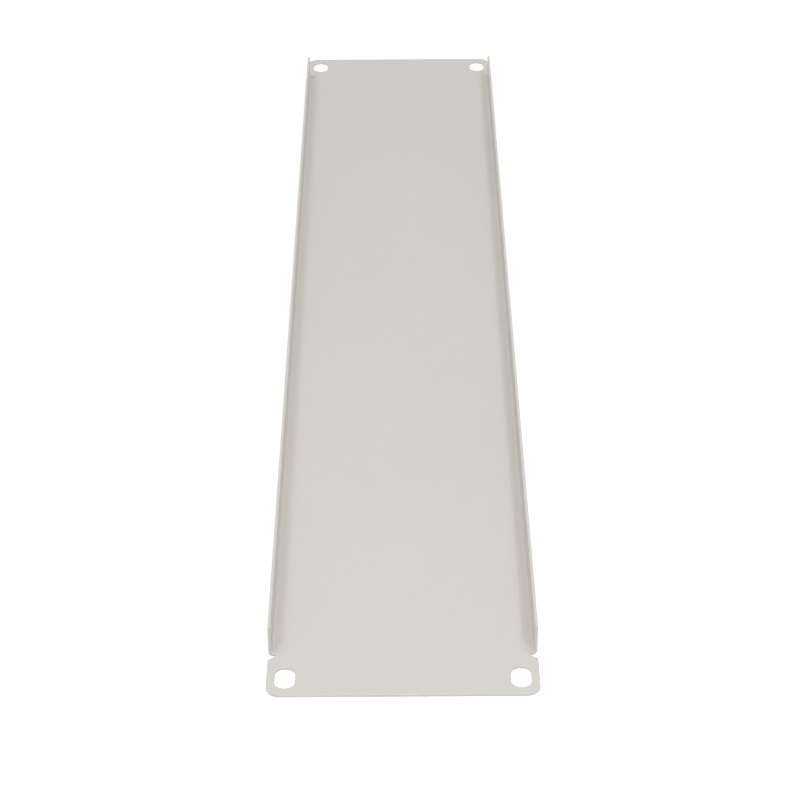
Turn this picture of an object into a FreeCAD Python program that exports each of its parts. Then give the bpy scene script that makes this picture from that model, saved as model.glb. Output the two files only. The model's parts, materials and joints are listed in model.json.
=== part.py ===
import FreeCAD, Part
import math
import os

from FreeCAD import Vector

# A 19-inch rack blanking panel, two rack units high.
# It is one sheet of steel: cut to outline, punched with four screw slots, then folded along
# its two long edges so that the flanges stiffen it between the rack's posts.
# It lies on its front face with the flanges up.
# +X runs along its length, +Y across its height, +Z out of its back, and the origin is the
# middle of the front face. All sizes are in millimetres.

# --- Driving dimensions -------------------------------------------------------------------

# Rack standard
PANEL_LENGTH = 482.6            # over both ears, 19 inches
RACK_UNIT = 44.45
RACK_UNITS = 2
PANEL_CLEARANCE = 0.8           # what a panel is short of its rack units, so that neighbours fit
SLOT_ROW_SPACING = 465.1        # between the screw rows of the two rack posts
SLOT_PAIR_SPACING = 76.2        # between the outer holes of two rack units

# Sheet and folds
SHEET_THICKNESS = 1.0
BEND_INNER_RADIUS = 1.0
FLANGE_HEIGHT = 12.0            # from the front face to the flange's free edge
FLANGE_LENGTH = 441.2           # passes between the rack posts, which stand 450 apart
FLANGE_INSET = 0.2              # the outside of a flange lies this far inside the ears' edge

# Screw slots and corners
SLOT_WIDTH = 6.6                # clears an M6 rack screw
SLOT_LENGTH = 10.2              # along the panel's length
EAR_CORNER_RADIUS = 4.5

# Relief notch between an ear and a flange: wide at the edge, with a round root at the fold
RELIEF_MOUTH = 2.5
RELIEF_ROOT_RADIUS = 0.5

# --- Worked-out dimensions ----------------------------------------------------------------

PANEL_HEIGHT = RACK_UNITS * RACK_UNIT - PANEL_CLEARANCE
BEND_OUTER_RADIUS = BEND_INNER_RADIUS + SHEET_THICKNESS

HALF_LENGTH = PANEL_LENGTH / 2
HALF_HEIGHT = PANEL_HEIGHT / 2
FLANGE_END = FLANGE_LENGTH / 2
FLANGE_OUTSIDE = HALF_HEIGHT - FLANGE_INSET
FLANGE_INSIDE = FLANGE_OUTSIDE - SHEET_THICKNESS
FOLD_START = FLANGE_OUTSIDE - BEND_OUTER_RADIUS    # where the flat web turns into the bend

OVERSHOOT = 2.0                 # how far a cutter runs past what it cuts


def cut_blank():
    """The flat sheet before folding, without the strips that the flanges take up."""
    sheet = Part.makeBox(
        PANEL_LENGTH,
        PANEL_HEIGHT,
        SHEET_THICKNESS,
        Vector(-HALF_LENGTH, -HALF_HEIGHT, 0),
    )
    corner_edges = [edge for edge in sheet.Edges if is_upright(edge)]
    sheet = sheet.makeFillet(EAR_CORNER_RADIUS, corner_edges)

    for side in (-1, 1):
        sheet = sheet.cut(flange_strip(side))
        for end in (-1, 1):
            sheet = sheet.cut(relief_notch(end, side))
    return sheet


def is_upright(edge):
    """Whether a straight edge runs along Z."""
    first, last = edge.Vertexes[0].Point, edge.Vertexes[-1].Point
    return abs(first.x - last.x) < 1e-6 and abs(first.y - last.y) < 1e-6


def flange_strip(side):
    """The part of the flat sheet that is folded up on one long edge."""
    depth = HALF_HEIGHT + OVERSHOOT - FOLD_START
    corner_y = FOLD_START if side > 0 else -FOLD_START - depth
    return Part.makeBox(
        FLANGE_LENGTH,
        depth,
        SHEET_THICKNESS + 2 * OVERSHOOT,
        Vector(-FLANGE_END, corner_y, -OVERSHOOT),
    )


def relief_notch(end, side):
    """The cutter for one relief notch. Its flange side is square to the edge and its ear side
    slopes, so that the notch narrows to a round root just past the start of the fold."""
    root_centre = Vector(FLANGE_END + RELIEF_ROOT_RADIUS, FOLD_START, 0)
    mouth = Vector(FLANGE_END + RELIEF_MOUTH, HALF_HEIGHT, 0)

    # the sloping side touches the root circle on the ear's side
    to_mouth = mouth - root_centre
    direction = math.atan2(to_mouth.y, to_mouth.x)
    swing = math.acos(RELIEF_ROOT_RADIUS / to_mouth.Length)
    touch = root_centre + RELIEF_ROOT_RADIUS * unit_vector(direction - swing)
    deepest = root_centre + RELIEF_ROOT_RADIUS * unit_vector(-math.pi / 2)
    flange_side = root_centre + RELIEF_ROOT_RADIUS * unit_vector(math.pi)

    outer_y = HALF_HEIGHT + OVERSHOOT
    outer_ear = Vector(mouth.x, outer_y, 0)
    outer_flange = Vector(FLANGE_END, outer_y, 0)

    def placed(point):
        return Vector(end * point.x, side * point.y, -OVERSHOOT)

    edges = [
        Part.LineSegment(placed(outer_ear), placed(mouth)).toShape(),
        Part.LineSegment(placed(mouth), placed(touch)).toShape(),
        Part.Arc(placed(touch), placed(deepest), placed(flange_side)).toShape(),
        Part.LineSegment(placed(flange_side), placed(outer_flange)).toShape(),
        Part.LineSegment(placed(outer_flange), placed(outer_ear)).toShape(),
    ]
    outline = Part.Face(Part.Wire(edges))
    return outline.extrude(Vector(0, 0, SHEET_THICKNESS + 2 * OVERSHOOT))


def unit_vector(angle):
    """The unit vector at an angle from +X in the plane of the sheet."""
    return Vector(math.cos(angle), math.sin(angle), 0)


def folded_flange(side):
    """One flange with its bend: the section of the fold, drawn across the panel and run along
    the flange's length."""
    bend_centre_y = FLANGE_OUTSIDE - BEND_OUTER_RADIUS
    halfway = math.sqrt(0.5)

    def point(y, z):
        return Vector(-FLANGE_END, side * y, z)

    def on_bend(radius):
        return point(bend_centre_y + radius * halfway, BEND_OUTER_RADIUS - radius * halfway)

    web_under = point(FOLD_START, 0)
    web_top = point(FOLD_START, SHEET_THICKNESS)
    outside_low = point(FLANGE_OUTSIDE, BEND_OUTER_RADIUS)
    outside_high = point(FLANGE_OUTSIDE, FLANGE_HEIGHT)
    inside_high = point(FLANGE_INSIDE, FLANGE_HEIGHT)
    inside_low = point(FLANGE_INSIDE, BEND_OUTER_RADIUS)

    edges = [
        Part.Arc(web_under, on_bend(BEND_OUTER_RADIUS), outside_low).toShape(),
        Part.LineSegment(outside_low, outside_high).toShape(),
        Part.LineSegment(outside_high, inside_high).toShape(),
        Part.LineSegment(inside_high, inside_low).toShape(),
        Part.Arc(inside_low, on_bend(BEND_INNER_RADIUS), web_top).toShape(),
        Part.LineSegment(web_top, web_under).toShape(),
    ]
    section = Part.Face(Part.Wire(edges))
    return section.extrude(Vector(FLANGE_LENGTH, 0, 0))


def screw_slot(end, side):
    """The punch for one screw slot: a slot with round ends, long along the panel."""
    half_straight = (SLOT_LENGTH - SLOT_WIDTH) / 2
    radius = SLOT_WIDTH / 2
    height = SHEET_THICKNESS + 2 * OVERSHOOT
    centre = Vector(end * SLOT_ROW_SPACING / 2, side * SLOT_PAIR_SPACING / 2, -OVERSHOOT)

    punch = Part.makeBox(
        2 * half_straight,
        SLOT_WIDTH,
        height,
        centre - Vector(half_straight, radius, 0),
    )
    for direction in (-1, 1):
        round_end = centre + Vector(direction * half_straight, 0, 0)
        punch = punch.fuse(Part.makeCylinder(radius, height, round_end))
    return punch.removeSplitter()


def blanking_panel():
    """The folded panel as one solid."""
    panel = cut_blank()
    for side in (-1, 1):
        panel = panel.fuse(folded_flange(side))
    panel = panel.removeSplitter()

    for end in (-1, 1):
        for side in (-1, 1):
            panel = panel.cut(screw_slot(end, side))
    return panel.Solids[0]


panel = blanking_panel()
os.makedirs("parts", exist_ok=True)
panel.exportStep("parts/blanking_panel.step")

box = panel.BoundBox
print("valid:", panel.isValid(), "solids:", len(panel.Solids), "faces:", len(panel.Faces))
print("size: %.2f x %.2f x %.2f mm" % (box.XLength, box.YLength, box.ZLength))
print("volume: %.0f mm3" % panel.Volume)
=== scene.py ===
# %% [markdown]
# # A rack blanking panel
#
# A blanking panel closes unused space in a 19-inch rack. It is one sheet of steel, one
# millimetre thick: cut to outline, punched with four screw slots, folded along its two long
# edges, and powder coated. It lies here on its front face, with its flanges up.
#
# The construction model gives the true sizes. This lesson dresses it: a finer mesh with the
# small radii that paint leaves on cut metal, a powder coat, and plain studio light.

# %% Load the construction model
import json
import math

import bmesh
import bpy
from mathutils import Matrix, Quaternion, Vector
from mathutils.geometry import delaunay_2d_cdt


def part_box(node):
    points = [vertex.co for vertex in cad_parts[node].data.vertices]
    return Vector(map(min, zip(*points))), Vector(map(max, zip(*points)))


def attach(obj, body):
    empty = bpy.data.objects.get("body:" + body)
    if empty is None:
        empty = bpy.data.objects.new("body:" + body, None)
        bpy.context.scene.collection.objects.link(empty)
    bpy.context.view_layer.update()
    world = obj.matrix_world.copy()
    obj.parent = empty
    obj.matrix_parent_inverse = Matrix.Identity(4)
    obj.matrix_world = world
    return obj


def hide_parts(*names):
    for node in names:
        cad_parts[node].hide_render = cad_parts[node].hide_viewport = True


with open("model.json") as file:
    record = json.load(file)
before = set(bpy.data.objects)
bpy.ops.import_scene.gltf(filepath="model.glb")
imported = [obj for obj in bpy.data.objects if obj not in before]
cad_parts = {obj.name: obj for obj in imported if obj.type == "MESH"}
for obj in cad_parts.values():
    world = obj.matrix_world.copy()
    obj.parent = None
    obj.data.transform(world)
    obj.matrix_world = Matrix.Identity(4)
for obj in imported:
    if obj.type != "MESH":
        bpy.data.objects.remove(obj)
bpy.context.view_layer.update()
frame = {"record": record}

MM = 0.001                      # one millimetre, in metres

# %% [markdown]
# ## Sizes
#
# Three sizes come from the construction model's box: the length, the height of the ears, and
# how far the flanges stand up. The slots come from its record, which says where the rack's
# screws go. The sheet's thickness, the bend and the small notches are written out. Blender
# works in metres, so each is a number of millimetres times MM, which is one millimetre.
# Everything later is worked out from these names.

# %% Name the sizes
low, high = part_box("blanking_panel")
half_length = high.x
half_height = high.y
flange_top = high.z

screws = next(m for m in frame["record"]["mounts"] if m["name"] == "rack_posts")["dims"]
slot_x = screws["spacing_x_mm"] * MM / 2
slot_y = screws["spacing_y_mm"] * MM / 2
slot_radius = screws["hole_r_mm"] * MM
slot_half_straight = screws["slot_length_mm"] * MM / 2 - slot_radius

SHEET_THICKNESS = 1.0 * MM
BEND_OUTER_RADIUS = 2.0 * MM
FLANGE_INSET = 0.2 * MM         # the flange's outside is this far inside the ear's edge
FLANGE_END = 220.6 * MM         # where the flanges stop, from the middle
EAR_CORNER_RADIUS = 4.5 * MM
RELIEF_MOUTH = 2.5 * MM
RELIEF_ROOT_RADIUS = 0.5 * MM

flange_outside = half_height - FLANGE_INSET
fold_line = flange_outside - BEND_OUTER_RADIUS
print("fold lines at", round(fold_line / MM, 2), "mm each side of the middle")

# %% [markdown]
# ## The folded channel
#
# On the real panel a press brake bends the sheet round a bar, so every slice across the panel
# has the same outline: a flange, a quarter turn, the flat web, another quarter turn and the
# other flange. A box with extruded sides would give sharp corners. Instead the outline of one
# slice is drawn as a list of points on the outer skin, and is repeated along the length.
#
# The quarter turn has twelve steps, enough for a smooth highlight. The flanges stop short of
# the ears, so their last few millimetres are made apart from the web, which runs on.

# %% Draw one slice of the channel
BEND_STEPS = 12
WEB_STEPS = 24
EDGE_ROW = 0.6 * MM             # a narrow row along each fold and free edge
FLANGE_ROWS = [9 * MM, 6.5 * MM, 4.5 * MM]  # heights that share out the flange's flat


def flange_slice(side):
    """Points down one flange and round its bend to the fold line, on the outer skin."""
    lowest = BEND_OUTER_RADIUS + EDGE_ROW
    heights = [flange_top, flange_top - EDGE_ROW, *FLANGE_ROWS, lowest]
    points = [(side * flange_outside, height) for height in heights]
    for step in range(BEND_STEPS + 1):
        turn = math.radians(90) * step / BEND_STEPS
        across = fold_line + BEND_OUTER_RADIUS * math.cos(turn)
        points.append((side * across, BEND_OUTER_RADIUS * (1 - math.sin(turn))))
    return points


def web_line():
    """Distances across the web, from one fold line to the other, with a narrow row at each."""
    inner = fold_line - EDGE_ROW
    even = [inner * (1 - 2 * step / WEB_STEPS) for step in range(WEB_STEPS + 1)]
    return [fold_line] + even + [-fold_line]


web_slice = [(y, 0.0) for y in web_line()[1:-1]]
whole_slice = flange_slice(1) + web_slice + flange_slice(-1)[::-1]
print("one slice has", len(whole_slice), "points")

# %% Repeat the slice along the panel
CHANNEL_STEPS = 48
WEB_END = FLANGE_END - 5 * MM   # from here outwards the web belongs to the ear
HALFWAY = FLANGE_END - 2 * MM   # one more row between there and the flange's end
flange_end_stations = [WEB_END, HALFWAY, FLANGE_END - EDGE_ROW, FLANGE_END]


def add_strip(mesh, stations, profile):
    """Repeats profile, a list of (y, z), at each station along x, and skins it with quads."""
    rows = [[mesh.verts.new((x, y, z)) for y, z in profile] for x in stations]
    for row, next_row in zip(rows, rows[1:]):
        for i in range(len(profile) - 1):
            mesh.faces.new((row[i], row[i + 1], next_row[i + 1], next_row[i]))


sheet = bmesh.new()
channel_stations = [WEB_END * (2 * i / CHANNEL_STEPS - 1) for i in range(CHANNEL_STEPS + 1)]
add_strip(sheet, channel_stations, whole_slice)
for end in (-1, 1):
    for side in (-1, 1):
        add_strip(sheet, [end * x for x in flange_end_stations], flange_slice(side))
print("channel:", len(sheet.faces), "faces")

# %% [markdown]
# ## The ears
#
# An ear is the flat end that is screwed to the rack. Its outline is followed once round: from
# the web, into the small relief notch, out to the edge, round two soft corners and back. The
# notches are there so that the metal can fold without tearing the ear.
#
# Arcs are made by a formula, so that their fineness can be changed in one place. The flat
# between the outlines is filled with Blender's Delaunay triangulation. With a few points
# spread over the flat, it gives well-shaped triangles, and the edges round off cleanly.

# %% Helpers for outlines
def arc(centre, radius, start, end, steps):
    """Points on an arc in the plane of the sheet, with both ends. Angles are in degrees."""
    points = []
    for step in range(steps + 1):
        angle = math.radians(start + (end - start) * step / steps)
        points.append((centre[0] + radius * math.cos(angle), centre[1] + radius * math.sin(angle)))
    return points


def straight(start, end, spacing):
    """Points on a straight line, about spacing apart, without its two ends."""
    steps = max(1, round(math.dist(start, end) / spacing))
    points = []
    for step in range(1, steps):
        points.append(tuple(Vector(start).lerp(Vector(end), step / steps)))
    return points


# %% Follow the ear's edge
CORNER_STEPS = 14
ROOT_STEPS = 8
EAR_SPACING = 2.4 * MM          # between points on the ear and along its edge
FINE_SPACING = 1 * MM           # between points on the notches and slots


def relief_notch():
    """One notch, from the end of the fold line round its root and out to the ear's edge."""
    centre = (FLANGE_END + RELIEF_ROOT_RADIUS, fold_line)
    mouth = (FLANGE_END + RELIEF_MOUTH, half_height)
    to_mouth = Vector(mouth) - Vector(centre)
    swing = math.degrees(math.acos(RELIEF_ROOT_RADIUS / to_mouth.length))
    direction = math.degrees(math.atan2(to_mouth.y, to_mouth.x))
    root = arc(centre, RELIEF_ROOT_RADIUS, 180, 360 + direction - swing, ROOT_STEPS)
    return root + straight(root[-1], mouth, FINE_SPACING) + [mouth]


def half_ear_outline():
    """The ear's edge on the +Y side, from the web to the middle of the panel's end."""
    fold = [(x, fold_line) for x in flange_end_stations[:-1]]
    notch = relief_notch()
    centre = (half_length - EAR_CORNER_RADIUS, half_height - EAR_CORNER_RADIUS)
    corner = arc(centre, EAR_CORNER_RADIUS, 90, 0, CORNER_STEPS)
    middle = (half_length, 0)
    side = straight(notch[-1], corner[0], EAR_SPACING)
    end = straight(corner[-1], middle, EAR_SPACING)
    return fold + notch + side + corner + end + [middle]


half_outline = half_ear_outline()
print("half an ear's outline has", len(half_outline), "points")

# %% Outline the slots
SLOT_END_STEPS = 20


def slot_outline(side):
    """One screw slot: two half circles joined by straight sides."""
    y = side * slot_y
    right = arc((slot_x + slot_half_straight, y), slot_radius, -90, 90, SLOT_END_STEPS)
    left = arc((slot_x - slot_half_straight, y), slot_radius, 90, 270, SLOT_END_STEPS)
    upper = straight(right[-1], left[0], FINE_SPACING)
    lower = straight(left[-1], right[0], FINE_SPACING)
    return right + upper + left + lower


def in_slot(x, y, margin=0.0):
    """Whether a point is in a screw slot, or within margin of one."""
    along = max(abs(x - slot_x) - slot_half_straight, 0)
    return math.hypot(along, abs(y) - slot_y) < slot_radius + margin


print("a slot's outline has", len(slot_outline(1)), "points")

# %% Fill the ears
INSIDE_ONLY = 1                 # the triangulation keeps what lies inside the outlines
SAME_POINT = 1e-7               # and joins points nearer than this, in metres


def ear_loops():
    """The ear's outline and its two slots, as closed loops of points."""
    lower_half = [(x, -y) for x, y in half_outline[-2::-1]]
    web_row = [(WEB_END, -y) for y in web_line()[1:-1]]
    return [half_outline + lower_half + web_row, slot_outline(1), slot_outline(-1)]


def flat_points(edge_points):
    """Points spread over the flat of the ear, clear of its edges."""
    points = []
    across = round(2 * half_height / EAR_SPACING)
    along = round((half_length - WEB_END) / EAR_SPACING)
    for i in range(1, along):
        for j in range(1, across):
            x = WEB_END + (half_length - WEB_END) * i / along
            y = half_height * (2 * j / across - 1)
            clear = min(math.dist((x, y), point) for point in edge_points) > EAR_SPACING / 2
            if clear and abs(y) < fold_line and not in_slot(x, y):
                points.append((x, y))
    for x in flange_end_stations[1:-1]:
        points += [(x, fold_line - EDGE_ROW), (x, EDGE_ROW - fold_line)]
    return points


def fill_ear():
    """Triangles of points that cover the ear and leave its slots open."""
    points, edges = [], []
    for loop in ear_loops():
        first = len(points)
        points += loop
        edges += [(first + i, first + (i + 1) % len(loop)) for i in range(len(loop))]
    points += flat_points(points)
    flat = [Vector(point) for point in points]
    filled = delaunay_2d_cdt(flat, edges, [], INSIDE_ONLY, SAME_POINT)
    triangles = [[filled[0][i] for i in face] for face in filled[2]]
    return [t for t in triangles if not in_slot(*((t[0] + t[1] + t[2]) / 3))]


ear_triangles = fill_ear()
for end in (-1, 1):
    for triangle in ear_triangles:
        sheet.faces.new([sheet.verts.new((end * x, y, 0)) for x, y in triangle])
print("each ear:", len(ear_triangles), "triangles")

# %% Weld the skin
WELD = 0.001 * MM

bmesh.ops.remove_doubles(sheet, verts=sheet.verts, dist=WELD)
bmesh.ops.recalc_face_normals(sheet, faces=sheet.faces)
web_face = min(sheet.faces, key=lambda face: face.calc_center_median().length)
if web_face.normal.z > 0:
    bmesh.ops.reverse_faces(sheet, faces=sheet.faces)

panel_mesh = bpy.data.meshes.new("panel")
sheet.to_mesh(panel_mesh)
open_edges = sum(1 for edge in sheet.edges if len(edge.link_faces) == 1)
sheet.free()
panel = bpy.data.objects.new("panel", panel_mesh)
bpy.context.scene.collection.objects.link(panel)
print("skin:", len(panel_mesh.vertices), "vertices,", open_edges, "edges on its outlines")

# %% [markdown]
# ## Thickness and soft edges
#
# So far there is only the outer skin. A Solidify modifier grows it inwards by the thickness of
# the sheet, and keeps that thickness even round the bends, as a press brake does.
#
# Powder melts in the oven and draws back from sharp corners, so a coated edge is never sharp.
# A Bevel modifier rounds every edge that turns by more than fifty degrees, which leaves the
# bends and the round slots alone. It also hardens the normals, so that the flats shade flat.

# %% Grow the sheet and round its edges
EDGE_ROUNDING = 0.3 * MM
EDGE_SEGMENTS = 4
EDGE_ANGLE = 50                 # degrees; an edge that turns by less stays as it is

for face in panel_mesh.polygons:
    face.use_smooth = True

solidify = panel.modifiers.new("sheet thickness", "SOLIDIFY")
solidify.thickness = SHEET_THICKNESS
solidify.offset = -1
solidify.use_even_offset = True
solidify.use_quality_normals = True

bevel = panel.modifiers.new("coated edges", "BEVEL")
bevel.width = EDGE_ROUNDING
bevel.segments = EDGE_SEGMENTS
bevel.limit_method = "ANGLE"
bevel.angle_limit = math.radians(EDGE_ANGLE)
bevel.use_clamp_overlap = False
bevel.harden_normals = True

finished = panel.evaluated_get(bpy.context.evaluated_depsgraph_get())
print("sheet with thickness and soft edges:", len(finished.data.polygons), "faces")

# %% [markdown]
# ## The powder coat
#
# The coat is a warm light grey, semi-matt. Three things keep it from looking like plain
# plastic: a slight drift of tone over the width of a hand, a roughness that wanders, and a
# surface that is never quite flat. The powder melts into grains about a third of a millimetre
# across, and flows together in waves of a millimetre or two, like the skin of an orange.
#
# Both are only hundredths of a millimetre deep. To model them, the mesh would need millions of
# faces, so they go into two Bump nodes instead, one feeding the other. The same grain also
# darkens the tone in its hollows, as painted shade for the light that hollows miss.

# %% Helper for node trees
def add_node(tree, kind, inputs=None, **settings):
    """Adds a node, sets its options, and sets or links its inputs by name or number."""
    node = tree.nodes.new(kind)
    for name, value in settings.items():
        setattr(node, name, value)
    for name, value in (inputs or {}).items():
        if isinstance(value, bpy.types.NodeSocket):
            tree.links.new(value, node.inputs[name])
        else:
            node.inputs[name].default_value = value
    return node


# %% Mix the powder coat
COAT_TONE = (0.693, 0.668, 0.627, 1)
# the darker end of the tone: random drift of the coat, and painted shade in the grain's hollows
COAT_TONE_DEEP_AND_SHADED = (0.645, 0.620, 0.579, 1)
GRAIN_SHADE_SHARE = 0.4               # how much of the tone follows the grain, as painted shade in its hollows, and not the drift
ROUGHNESS_RANGE = (0.42, 0.56)
GRAIN_DEPTH = 0.06 * MM
RIPPLE_DEPTH = 0.1 * MM

# each noise: about how many spots to a metre, and how many finer layers lie on top
DRIFT = {"Scale": 14, "Detail": 3}
GRAIN = {"Scale": 2600, "Detail": 2}
CLOUD = {"Scale": 160, "Detail": 4}
RIPPLE = {"Scale": 620, "Detail": 1}


def powder_coat():
    """The material of the whole panel."""
    material = bpy.data.materials.new("powder_coat")
    material.use_nodes = True
    tree = material.node_tree
    shader = tree.nodes["Principled BSDF"]
    place = add_node(tree, "ShaderNodeTexCoord").outputs["Object"]

    drift = add_node(tree, "ShaderNodeTexNoise", {"Vector": place, **DRIFT})
    grain = add_node(tree, "ShaderNodeTexNoise", {"Vector": place, **GRAIN})
    both = add_node(
        tree,
        "ShaderNodeMix",
        {"Factor": GRAIN_SHADE_SHARE, "A": drift.outputs["Fac"], "B": grain.outputs["Fac"]},
    )
    # the tone darkens at random with the drift, and with the grain as painted shade in its hollows
    tone = add_node(
        tree,
        "ShaderNodeMix",
        {"Factor": both.outputs["Result"], "A": COAT_TONE_DEEP_AND_SHADED, "B": COAT_TONE},
        data_type="RGBA",
    )
    tree.links.new(tone.outputs["Result"], shader.inputs["Base Color"])

    cloud = add_node(tree, "ShaderNodeTexNoise", {"Vector": place, **CLOUD})
    smoothest, roughest = ROUGHNESS_RANGE
    gloss = add_node(
        tree,
        "ShaderNodeMapRange",
        {"Value": cloud.outputs["Fac"], "To Min": smoothest, "To Max": roughest},
    )
    tree.links.new(gloss.outputs["Result"], shader.inputs["Roughness"])

    fine = add_node(
        tree,
        "ShaderNodeBump",
        {"Height": grain.outputs["Fac"], "Strength": 1, "Distance": GRAIN_DEPTH},
    )
    ripple = add_node(tree, "ShaderNodeTexNoise", {"Vector": place, **RIPPLE})
    coarse = add_node(
        tree,
        "ShaderNodeBump",
        {
            "Height": ripple.outputs["Fac"],
            "Strength": 1,
            "Distance": RIPPLE_DEPTH,
            "Normal": fine.outputs["Normal"],
        },
    )
    tree.links.new(coarse.outputs["Normal"], shader.inputs["Normal"])
    return material


panel.data.materials.append(powder_coat())
print("powder coat:", len(panel.data.materials[0].node_tree.nodes), "nodes")

# %% [markdown]
# ## Joining the panel to the construction model
#
# The new mesh stands for the plainer solid, which stays in the construction model for weight
# and contact. It rides on the same body, so that both always move together.

# %% Replace the plain solid
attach(panel, "root")
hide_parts("blanking_panel")
print("the dressed panel stands for the plain one")

# %% [markdown]
# ## Floor and room
#
# The panel lies on a white table in a white room. The camera sees both as white, while the
# panel sees a room of even, moderate light. A Light Path node makes that difference: it tells
# a shader which kind of ray is asking.
#
# The table is a real, lit surface. It throws light back at the panel, and it darkens where the
# panel shades it, in the slots and notches and along the folds. Further out it fades to plain
# white, so that no horizon shows in a low view.
#
# Two more switches keep the panel good to look at from below as well. The table is clear from
# its back, and a ray shorter than a third of a millimetre passes through it. The panel's
# underside lies nearer than that, so it is lit by the room below the table, and isn't left
# black.

# %% Helper that tells seen rays from scattered light
def seen_directly(tree):
    """A value that is 1 for camera, mirror and glass rays, and 0 for scattered light."""
    path = add_node(tree, "ShaderNodeLightPath").outputs
    seen = add_node(
        tree,
        "ShaderNodeMath",
        {0: path["Is Camera Ray"], 1: path["Is Glossy Ray"]},
        operation="MAXIMUM",
    )
    through = add_node(
        tree,
        "ShaderNodeMath",
        {0: seen.outputs[0], 1: path["Is Transmission Ray"]},
        operation="MAXIMUM",
    )
    return through.outputs[0]


# %% Mix the white table
WHITE = (1, 1, 1, 1)
DULL_WHITE = (0.8, 0.8, 0.8, 1)  # the table as scattered light meets it
FLOOR_LIFT = 0.3                # light added to the floor, so that only deep shade shows
LIT_RADIUS = 0.4                # the table is a lit surface this far out from the middle
WHITE_RADIUS = 0.9              # and plain white from here on, up to the horizon
TOUCHING = 0.3 * MM             # rays shorter than this pass through the table


def far_out(tree):
    """A value that rises from 0 near the panel to 1 far out on the table."""
    place = add_node(tree, "ShaderNodeTexCoord").outputs["Object"]
    distance = add_node(tree, "ShaderNodeVectorMath", {0: place}, operation="LENGTH")
    rise = add_node(
        tree,
        "ShaderNodeMapRange",
        {"Value": distance.outputs["Value"], "From Min": LIT_RADIUS, "From Max": WHITE_RADIUS},
        interpolation_type="SMOOTHSTEP",
    )
    return rise.outputs["Result"]


def white_table():
    """A white table that takes the panel's shade, and is clear from below."""
    material = bpy.data.materials.new("white_table")
    material.use_nodes = True
    tree = material.node_tree
    tree.nodes.clear()
    lit = add_node(tree, "ShaderNodeBsdfDiffuse", {"Color": WHITE})
    glow = add_node(tree, "ShaderNodeEmission", {"Color": WHITE, "Strength": FLOOR_LIFT})
    lifted = add_node(tree, "ShaderNodeAddShader", {0: lit.outputs[0], 1: glow.outputs[0]})
    plain = add_node(tree, "ShaderNodeEmission", {"Color": WHITE, "Strength": 1})
    bright = add_node(
        tree,
        "ShaderNodeMixShader",
        {0: far_out(tree), 1: lifted.outputs[0], 2: plain.outputs[0]},
    )
    dull = add_node(tree, "ShaderNodeBsdfDiffuse", {"Color": DULL_WHITE})
    top = add_node(
        tree,
        "ShaderNodeMixShader",
        {0: seen_directly(tree), 1: dull.outputs[0], 2: bright.outputs[0]},
    )
    clear = add_node(tree, "ShaderNodeBsdfTransparent")
    backface = add_node(tree, "ShaderNodeNewGeometry").outputs["Backfacing"]
    reach = add_node(tree, "ShaderNodeLightPath").outputs["Ray Length"]
    touching = add_node(tree, "ShaderNodeMath", {0: reach, 1: TOUCHING}, operation="LESS_THAN")
    passed = add_node(
        tree, "ShaderNodeMath", {0: backface, 1: touching.outputs[0]}, operation="MAXIMUM"
    )
    surface = add_node(
        tree,
        "ShaderNodeMixShader",
        {0: passed.outputs[0], 1: top.outputs[0], 2: clear.outputs[0]},
    )
    output = add_node(tree, "ShaderNodeOutputMaterial")
    tree.links.new(surface.outputs[0], output.inputs["Surface"])
    return material


# %% Lay the floor
FLOOR_SIZE = 6.0                # metres
FLOOR_DROP = 0.05 * MM          # the floor's gap under the panel, so that they don't clash

floor_mesh = bpy.data.meshes.new("floor")
edge = FLOOR_SIZE / 2
corners = [(-edge, -edge, 0), (edge, -edge, 0), (edge, edge, 0), (-edge, edge, 0)]
floor_mesh.from_pydata(corners, [], [(0, 1, 2, 3)])
floor_mesh.materials.append(white_table())
floor = bpy.data.objects.new("floor", floor_mesh)
floor.location.z = low.z - FLOOR_DROP
bpy.context.scene.collection.objects.link(floor)
print("floor:", FLOOR_SIZE, "m square, at z =", round(floor.location.z / MM, 2), "mm")

# %% Fill the room with even light
ROOM_LIGHT = 0.485
LIGHT_FROM_BELOW = 0.84         # reaches only the underside, through the table


def lit_from(tree):
    """The strength of the light from each direction: above and below the horizon."""
    direction = add_node(tree, "ShaderNodeTexCoord").outputs["Generated"]
    height = add_node(tree, "ShaderNodeSeparateXYZ", {"Vector": direction}).outputs["Z"]
    above = add_node(tree, "ShaderNodeMath", {0: height, 1: 0.0}, operation="GREATER_THAN")
    strength = add_node(
        tree,
        "ShaderNodeMapRange",
        {"Value": above.outputs[0], "To Min": LIGHT_FROM_BELOW, "To Max": ROOM_LIGHT},
    )
    return strength.outputs["Result"]


world = bpy.data.worlds.new("white_room")
bpy.context.scene.world = world
world.use_nodes = True
tree = world.node_tree
tree.nodes.clear()
even = add_node(
    tree, "ShaderNodeBackground", {"Color": WHITE, "Strength": lit_from(tree)}
)
white = add_node(tree, "ShaderNodeBackground", {"Color": WHITE, "Strength": 1})
room = add_node(
    tree,
    "ShaderNodeMixShader",
    {0: seen_directly(tree), 1: even.outputs[0], 2: white.outputs[0]},
)
output = add_node(tree, "ShaderNodeOutputWorld")
tree.links.new(room.outputs[0], output.inputs["Surface"])
print("room:", ROOM_LIGHT, "from above,", LIGHT_FROM_BELOW, "from below")

# %% [markdown]
# ## Six soft lamps
#
# A wide softbox hangs over the panel. A low strip in front lights the cut edge of the near
# ear, which faces the camera and would be dull without it. A low strip on each side does the
# same for the flanges: it passes over one and lights the inside of the other.
#
# Two small square lamps stand high in front, one to each side, and each throws the shade of
# the flange next to it onto the web. Bigger lamps would blur that shade, and smaller ones
# would cut it hard. The right one is a third stronger, because two lamps that match exactly
# look like a drawing and not like a studio.

# %% Hang the lamps
def aimed_at(place, target, roll=0.0):
    """The rotation of a lamp or camera at place that looks at target, rolled by some degrees."""
    look = (Vector(target) - Vector(place)).to_track_quat("-Z", "Y")
    return (look @ Quaternion((0, 0, 1), math.radians(roll))).to_euler()


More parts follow.
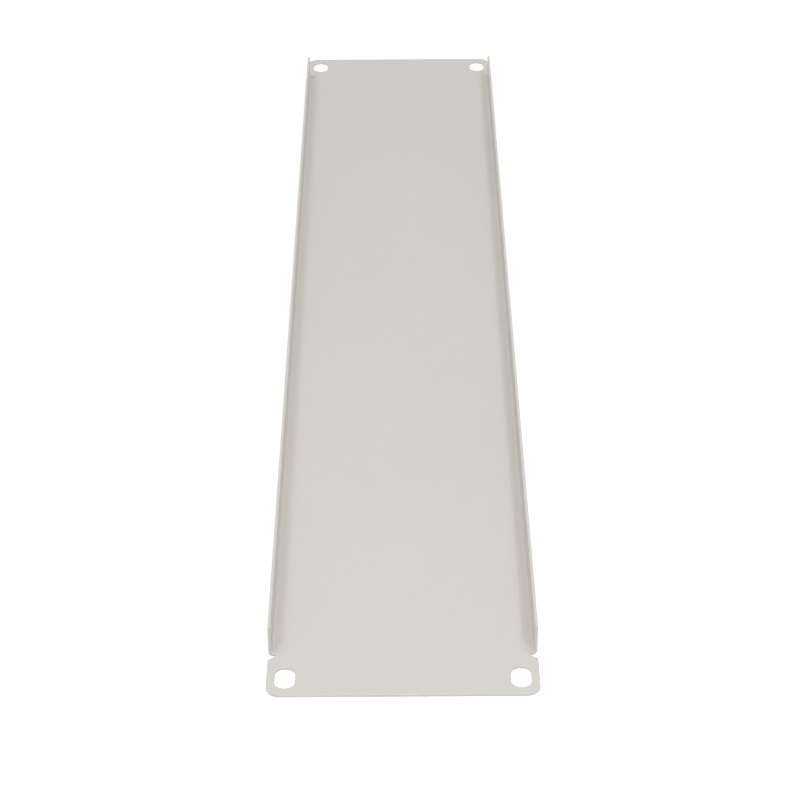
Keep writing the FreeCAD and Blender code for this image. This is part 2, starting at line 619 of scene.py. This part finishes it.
def hang_lamp(name, place, target, size, power):
    """A rectangular lamp: place and target in metres, size as (width, depth), power in watts."""
    light = bpy.data.lights.new(name, "AREA")
    light.shape = "RECTANGLE"
    light.size, light.size_y = size
    light.energy = power
    lamp = bpy.data.objects.new(name, light)
    lamp.location = place
    lamp.rotation_euler = aimed_at(place, target)
    bpy.context.scene.collection.objects.link(lamp)
    print(name, "at", place, "m:", power, "W")


MIDDLE = (0, 0, 0)
NEAR_END = (-FLANGE_END, 0, 0)
UNDER_SOFTBOX = (-0.25, 0, 0)
BETWEEN_STRIPS = (-0.05, 0, 0)
STRIP_SIZE = (1.4, 0.3)
LAMP_SIZE = (0.12, 0.12)

hang_lamp("softbox", place=(-0.25, 0, 1.6), target=UNDER_SOFTBOX, size=(0.4, 1.6), power=8.6)
hang_lamp("front_strip", place=(-1.2, 0, 0.2), target=MIDDLE, size=(1.6, 0.3), power=1.6)
for name, side in (("strip_left", 1), ("strip_right", -1)):
    hang_lamp(name, (-0.05, side * 1.2, 0.25), BETWEEN_STRIPS, STRIP_SIZE, power=0.7)
for name, side, power in (("lamp_left", 1, 2.68), ("lamp_right", -1, 3.56)):
    hang_lamp(name, (-0.98, side * 0.5, 1.44), NEAR_END, LAMP_SIZE, power)

# %% [markdown]
# ## Camera
#
# The camera stands at one end and looks down along the panel through a long lens, from a
# little more than one panel length beyond the near ear. A long lens keeps the far end from
# shrinking too much.

# %% Set up the camera
CAMERA_PLACE = (-0.8140, 0.0005, 0.4827)
CAMERA_TARGET = (-0.0667, 0.0004, 0.0)
CAMERA_ROLL = -0.35             # degrees
CAMERA_LENS = 104.85            # millimetres
SENSOR_WIDTH = 36               # millimetres
NEAREST, FARTHEST = 0.01, 50    # what the camera can see, in metres

camera_data = bpy.data.cameras.new("camera")
camera_data.lens = CAMERA_LENS
camera_data.sensor_width = SENSOR_WIDTH
camera_data.clip_start = NEAREST
camera_data.clip_end = FARTHEST
camera = bpy.data.objects.new("camera", camera_data)
camera.location = CAMERA_PLACE
camera.rotation_euler = aimed_at(CAMERA_PLACE, CAMERA_TARGET, CAMERA_ROLL)
bpy.context.scene.collection.objects.link(camera)
bpy.context.scene.camera = camera

bpy.context.scene.view_settings.view_transform = "Standard"
distance = math.dist(CAMERA_PLACE, CAMERA_TARGET)
view_angle = math.degrees(camera_data.angle)
print("camera:", round(distance, 3), "m away, sees", round(view_angle, 1), "degrees")
